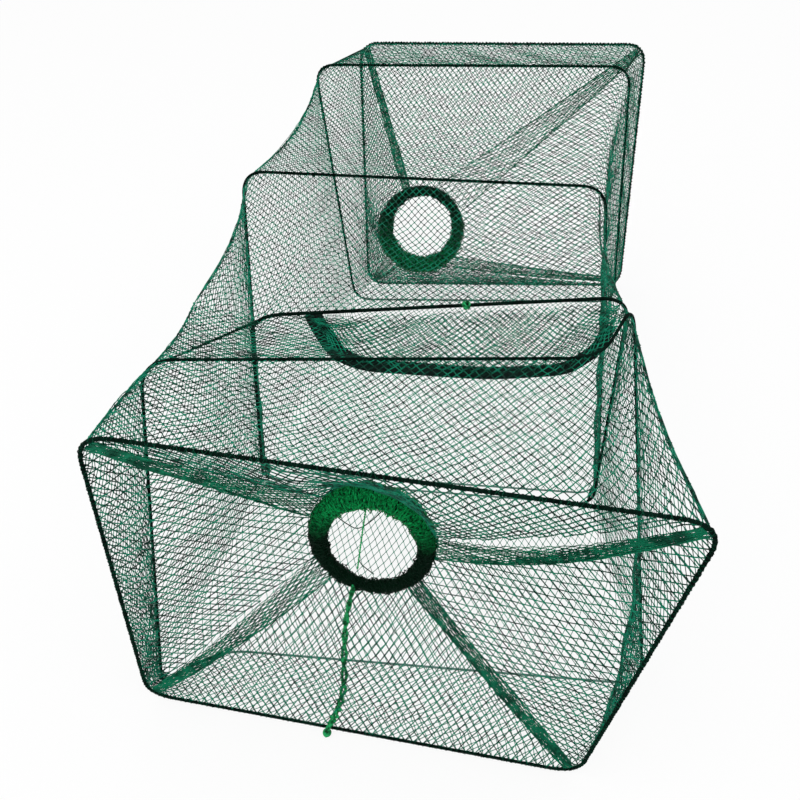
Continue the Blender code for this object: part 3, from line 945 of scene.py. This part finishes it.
def twisted_cord(name, path, diameters, lay, material, body):
    """Two strands laid round each other. diameters are spread evenly over the cord's length."""
    length = path_length(path)
    count = max(24, int(length / lay * POINTS_PER_LAY))
    base = even_path(path, count, False)
    first, other = path_frames(base, False)
    size = np.interp(np.linspace(0, 1, count), np.linspace(0, 1, len(diameters)), diameters)
    radii = size / diameters[0]
    pieces = []
    for letter, start in (("a", 0.0), ("b", np.pi)):
        angle = 2 * np.pi * np.linspace(0, length / lay, count) + start
        line = base + around(first, other, angle) * size[:, None] * STRAND_OFFSET
        radius = diameters[0] * STRAND_RADIUS
        piece = spline_curve(f"{name}_{letter}", line, radius, material, bevel=2, radii=radii)
        if body:
            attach(piece, body)
        pieces.append(piece)
    return pieces


def as_mesh(obj):
    """A curve turned into a mesh of the same name."""
    graph = bpy.context.evaluated_depsgraph_get()
    mesh = bpy.data.meshes.new_from_object(obj.evaluated_get(graph))
    name = obj.name
    bpy.data.objects.remove(obj)
    return add_object(name, mesh)


# Cord and threads across the front ring's hole, by their points' places right of and above its centre
HOLE = RING_RADIUS - RING_TUBE - 0.0012
THROAT_CORD = [(-0.0062, HOLE - 0.0016), (-0.0098, 0.0), (-0.0130, 0.0016 - HOLE)]
THROAT_THREADS = [
    [(-0.0385, 0.0180), (-0.0240, 0.0085), (-0.0140, 0.0060), (-0.0020, 0.0165), (0.0140, 0.0380)],
    [(-0.0130, -0.0300), (-0.0085, -0.0370), (0.0030, -0.0455)],
]
THROAT_THREAD_RADIUS = 0.00055

# The cord's tail: share of the way from the ring to the knot, share of its bow, and how far to the right
ANCHOR_ROUTE = [
    (0.00, 0.00, 0.0000),
    (0.23, 0.10, -0.0018),
    (0.48, 0.52, -0.0012),
    (0.76, 0.80, 0.0030),
    (0.90, 0.56, 0.0030),
    (0.96, 0.26, 0.0010),
    (1.00, 0.00, 0.0000),
]
ANCHOR_BOW = np.array((0.0035, 0.0190, -0.0110))
ANCHOR_SPREAD = 0.0023
ANCHOR_CORD = CORD * 1.6
ANCHOR_KNOT = front[0] + (front[1] - front[0]) * 0.440 + np.array((0.0006, -0.0070, 0.0))
ANCHOR_KNOT[2] = 0.0052


def build_throat():
    centre, across, up, facing = ring_axes(FRONT_RING)
    throat = smooth_path([centre + across * x + up * y for x, y in THROAT_CORD], 12)
    pieces = twisted_cord(
        "throat_cord_strand", throat, [CORD * 0.82], CORD_LAY, THROAT_GREEN, "front_throat"
    )
    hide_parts("throat_cord")
    for k, route in enumerate(THROAT_THREADS):
        path = smooth_path([centre + across * x + up * y - facing * 0.002 for x, y in route], 8)
        name = f"throat_thread_line_{k + 1}"
        thread = spline_curve(name, path, THROAT_THREAD_RADIUS, HOOP_LACING, bevel=1)
        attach(thread, "front_throat")
        if k == 0:
            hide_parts("throat_thread")


def build_anchor():
    """The cord's tail: two loose strands, turned into meshes with their placement baked in."""
    centre, across, up, facing = ring_axes(FRONT_RING)
    start = centre - across * 0.015 - up * (RING_RADIUS + 0.002) + facing * (RING_TUBE * 0.6)
    end = ANCHOR_KNOT + np.array((0, 0, 0.0040))
    drop = end - start
    route = [start + drop * share + ANCHOR_BOW * bow + across * x for share, bow, x in ANCHOR_ROUTE]
    middle = smooth_path(route, 14)
    share = np.linspace(0, 1, len(middle))
    spread = ANCHOR_SPREAD * np.sin(np.pi * share) ** 0.4
    for k in range(2):
        sway = np.sin(2 * np.pi * (6.5 * share + 0.5 * k) + 0.8 * np.sin(9 * share))
        depth = np.cos(40 * share + 3 * k)
        path = middle + across * (spread * sway)[:, None] + facing * (spread * depth)[:, None]
        path[:, 2] = np.maximum(path[:, 2], CORD)
        name = f"anchor_strand_{k + 1}"
        for piece in twisted_cord(name, path, [ANCHOR_CORD], CORD_LAY, GREEN_CORD, None):
            made = as_mesh(piece)
            if made.name == "anchor_strand_1_a":
                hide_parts("anchor_cord")
            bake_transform(made)


def tied_knot(node, centre, size, axis, thread, seed):
    """A small hard knot: a cord wound round a lump, with a short end."""
    axis = unit(axis)
    first = crosswise(axis)
    other = np.cross(axis, first)
    t = np.linspace(0, 1, 110)
    angle = 2 * np.pi * 4 * t
    tilt = 2 * np.pi * 1.5 * t + seed
    line = centre + around(first, around(other, axis, tilt), angle) * size
    tail = line[-1] + np.outer(np.linspace(0, 1, 8)[1:], first * size * 0.3 + np.array((0, 0, -size * 0.3)))
    line = np.vstack([line, tail])
    line[:, 2] = np.maximum(line[:, 2], thread * 0.85)
    piece = spline_curve(node + "_cord", line, thread / 2, GREEN_CORD, bevel=2)
    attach(piece, "front_section")
    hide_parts(node)


def build_knots():
    tied_knot("anchor_knot", ANCHOR_KNOT, 0.0033, front[1] - front[0], CORD * 1.15, 0.0)
    tied_knot("hatch_knot", on_third_top(HATCH_KNOT), 0.0038, third[2] - third[3], CORD * 0.72, 1.0)


# Hatch: a tape along the free edge of a doubled net flap

# The tape's section: shares of its width and of its thickness
TAPE_PROFILE = [
    (-0.5, -0.5), (-0.25, -0.35), (0, -0.3), (0.25, -0.35), (0.5, -0.5),
    (0.5, 0.5), (0.25, 0.62), (0, 0.66), (-0.25, 0.62), (-0.5, 0.5),
]
TAPE_STEPS = 14
# The tape's width at its left end and what it loses by its right end, as shares of TAPE_WIDTH
TAPE_WIDER = 1.25
TAPE_NARROWS = 0.60
# The flap: meshes across, and how far its hinge lies in front of the third hoop's top and above the tape
FLAP_COLUMNS = 38
FLAP_CLEAR = 0.004
FLAP_RISE = 0.003


def tape_part(line, across, width):
    """A slightly crowned band along a line, closed at both ends."""
    rows, count = len(line), len(TAPE_PROFILE)
    up = np.array((0, 0, 1.0))
    edges = [line + across * (w * width)[:, None] + up * (h * TAPE_THICK) for w, h in TAPE_PROFILE]
    points = np.stack(edges, axis=1)
    i, j = np.meshgrid(np.arange(rows - 1), np.arange(count), indexing="ij")
    after = (j + 1) % count
    quads = np.stack([i * count + j, i * count + after, (i + 1) * count + after, (i + 1) * count + j], -1)
    caps = [list(range(count)), list(range((rows - 1) * count, rows * count))[::-1]]
    cap_faces = np.array([[cap[0], cap[k], cap[k + 1]] for cap in caps for k in range(1, count - 1)])
    uv = np.stack(np.meshgrid(np.linspace(0, 1, rows), np.linspace(0, 0.3, count), indexing="ij"), -1)
    return points.reshape(-1, 3), quads.reshape(-1, 4), cap_faces, uv.reshape(-1, 2)


def build_hatch():
    ahead = np.array(TAPE_PATH[0]) - np.array(TAPE_PATH[1])
    tail_end = np.array(TAPE_PATH[0]) + ahead * TAPE_TAIL / np.linalg.norm(ahead)
    line = smooth_path([(*point, TAPE_HEIGHT) for point in (tail_end, *TAPE_PATH)], TAPE_STEPS)
    across = unit(np.cross((0, 0, 1.0), unit(np.gradient(line, axis=0))))
    width = TAPE_WIDTH * (TAPE_WIDER - TAPE_NARROWS * np.linspace(0, 1, len(line)) ** 3)
    middle = line + across * 0.0015
    middle[:, 2] += 0.0006 * np.sin(np.arange(len(line)) * 0.35)
    # The left end stays where it is sewn on as the flap swings down
    for name, part, body in (
        ("hatch_tape_tail", slice(0, TAPE_STEPS + 1), "front_section"),
        ("hatch_tape_woven", slice(TAPE_STEPS, None), "hatch"),
    ):
        tape = mesh_piece(name, tape_part(middle[part], across[part], width[part]), DARK_TAPE)
        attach(tape, body)
        if body == "hatch":
            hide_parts("hatch_tape")

    edge = sampler(line)
    top_run = third[2] - third[3]
    clear = unit(np.array((top_run[1], -top_run[0], 0.0))) * FLAP_CLEAR
    back_start = on_third_top(HATCH_LEFT) + clear
    back_end = on_third_top(HATCH_RIGHT) + clear

    def flap(height, belly, phase):
        def place(u, v):
            back = back_start + (back_end - back_start) * u[..., None]
            back[..., 2] = TAPE_HEIGHT + FLAP_RISE
            point = back + (edge(0.04 + 0.94 * u) - back) * v[..., None]
            drop = belly * np.sin(np.pi * u) * np.sin(np.pi * v)
            point[..., 2] += height - drop + 0.0010 * np.sin(30 * u + 12 * v + phase)
            return point

        return place

    upper = mesh_piece("hatch_flap_upper", net_part(flap(0.0016, 0.0015, 0.0), FLAP_COLUMNS, 10), NET_TWINE)
    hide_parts("hatch_flap_net")
    lower = net_part(flap(-0.0035, 0.0070, 1.7), FLAP_COLUMNS + 2, 11, twine=SLACK_TWINE)
    under = mesh_piece("hatch_flap_lower", lower, FOLD_NET)
    for piece in (upper, under):
        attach(piece, "hatch")


# Selvedge cords between neighbouring hoops' corners


def build_edges():
    edges = {
        "edge_cord_2_3": (corner_middle(second, 5), corner_middle(third, 3), (0.0020, 0.0026, 0.0030)),
        "edge_cord_5_6_left": (corner_middle(fifth, 3), corner_middle(rear, 3), (0.0028, 0.0026)),
        "edge_cord_5_6_right": (corner_middle(fifth, 2), corner_middle(rear, 2), (0.0028, 0.0026)),
    }
    for node, (start, end, diameters) in edges.items():
        along = unit(end - start)
        clear = along * (HOOP_WIRE / 2 + diameters[0] / 2)
        path = np.linspace(start + clear, end - clear, 20)
        body = "front_section" if node == "edge_cord_2_3" else "rear_section"
        pieces = twisted_cord(node + "_strand", path, diameters, EDGE_LAY, HOOP_LACING, body)
        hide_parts(node)


# Camera, floor and light

# The photo's camera: place, turn in degrees, and focal length in millimetres
CAMERA_PLACE = (0.1347, -0.3258, 0.7845)
CAMERA_TURN = (47.41, 0, 14.87)
CAMERA_LENS = 34.6
# How white the floor shows, from 0 to 1, and how brightly the world lights the trap
FLOOR_WHITE = 0.88
WORLD_LIGHT = 0.82


def seen_directly(tree):
    """A value that is 1 for what the camera, a reflection or glass sees, and 0 for light on the object."""
    paths = make_node(tree, "ShaderNodeLightPath")
    value = paths.outputs["Is Camera Ray"]
    for other in ("Is Glossy Ray", "Is Transmission Ray"):
        either = make_node(tree, "ShaderNodeMath")
        either.operation = "MAXIMUM"
        tree.links.new(value, either.inputs[0])
        tree.links.new(paths.outputs[other], either.inputs[1])
        value = either.outputs[0]
    return value


def build_stage():
    camera_data = bpy.data.cameras.new("camera")
    camera_data.lens = CAMERA_LENS
    camera_data.sensor_width = 36
    camera_data.clip_start = 0.01
    camera = add_object("camera", camera_data)
    camera.location = CAMERA_PLACE
    camera.rotation_euler = Euler([math.radians(angle) for angle in CAMERA_TURN])
    bpy.context.scene.camera = camera

    bpy.ops.mesh.primitive_plane_add(size=16, location=(0, 1, -0.0002))
    floor = bpy.context.object
    floor.name = "studio_floor"
    material = bpy.data.materials.new("studio_floor")
    material.use_nodes = True
    tree = material.node_tree
    shader = tree.nodes["Principled BSDF"]
    shader.inputs["Base Color"].default_value = (0.93, 0.93, 0.93, 1)
    shader.inputs["Roughness"].default_value = 0.9
    white = make_node(tree, "ShaderNodeEmission")
    share = make_node(tree, "ShaderNodeMath", {1: FLOOR_WHITE})
    share.operation = "MULTIPLY"
    mix = make_node(tree, "ShaderNodeMixShader")
    tree.links.new(seen_directly(tree), share.inputs[0])
    tree.links.new(share.outputs[0], mix.inputs["Fac"])
    tree.links.new(shader.outputs["BSDF"], mix.inputs[1])
    tree.links.new(white.outputs["Emission"], mix.inputs[2])
    tree.links.new(mix.outputs["Shader"], tree.nodes["Material Output"].inputs["Surface"])
    floor.data.materials.append(material)

    world = bpy.context.scene.world or bpy.data.worlds.new("studio")
    bpy.context.scene.world = world
    world.use_nodes = True
    tree = world.node_tree
    background = tree.nodes["Background"]
    background.inputs["Color"].default_value = (1, 1, 1, 1)
    strength = make_node(tree, "ShaderNodeMapRange", {"To Min": WORLD_LIGHT, "To Max": 1})
    tree.links.new(seen_directly(tree), strength.inputs["Value"])
    tree.links.new(strength.outputs["Result"], background.inputs["Strength"])

    for name, place, size, power in (
        ("key_light", (-0.9, -0.6, 2.2), 1.6, 14.0),
        ("fill_light", (1.4, 0.4, 2.0), 2.0, 8.0),
    ):
        light_data = bpy.data.lights.new(name, "AREA")
        light_data.size = size
        light_data.energy = power
        light = add_object(name, light_data)
        light.location = place
        aim = Vector((0, 0.45, 0.1)) - Vector(place)
        light.rotation_euler = aim.to_track_quat("-Z", "Y").to_euler()

    bpy.context.scene.view_settings.view_transform = "Standard"


build_stage()
build_throat()
build_anchor()
build_hoops()
build_ring("front_funnel_ring", FRONT_RING, "front_throat", FRONT_RING_THREAD)
build_ring("rear_funnel_ring", REAR_RING, "rear_throat", REAR_RING_THREAD)
build_walls()
build_funnels()
build_knots()
build_hatch()
build_edges()
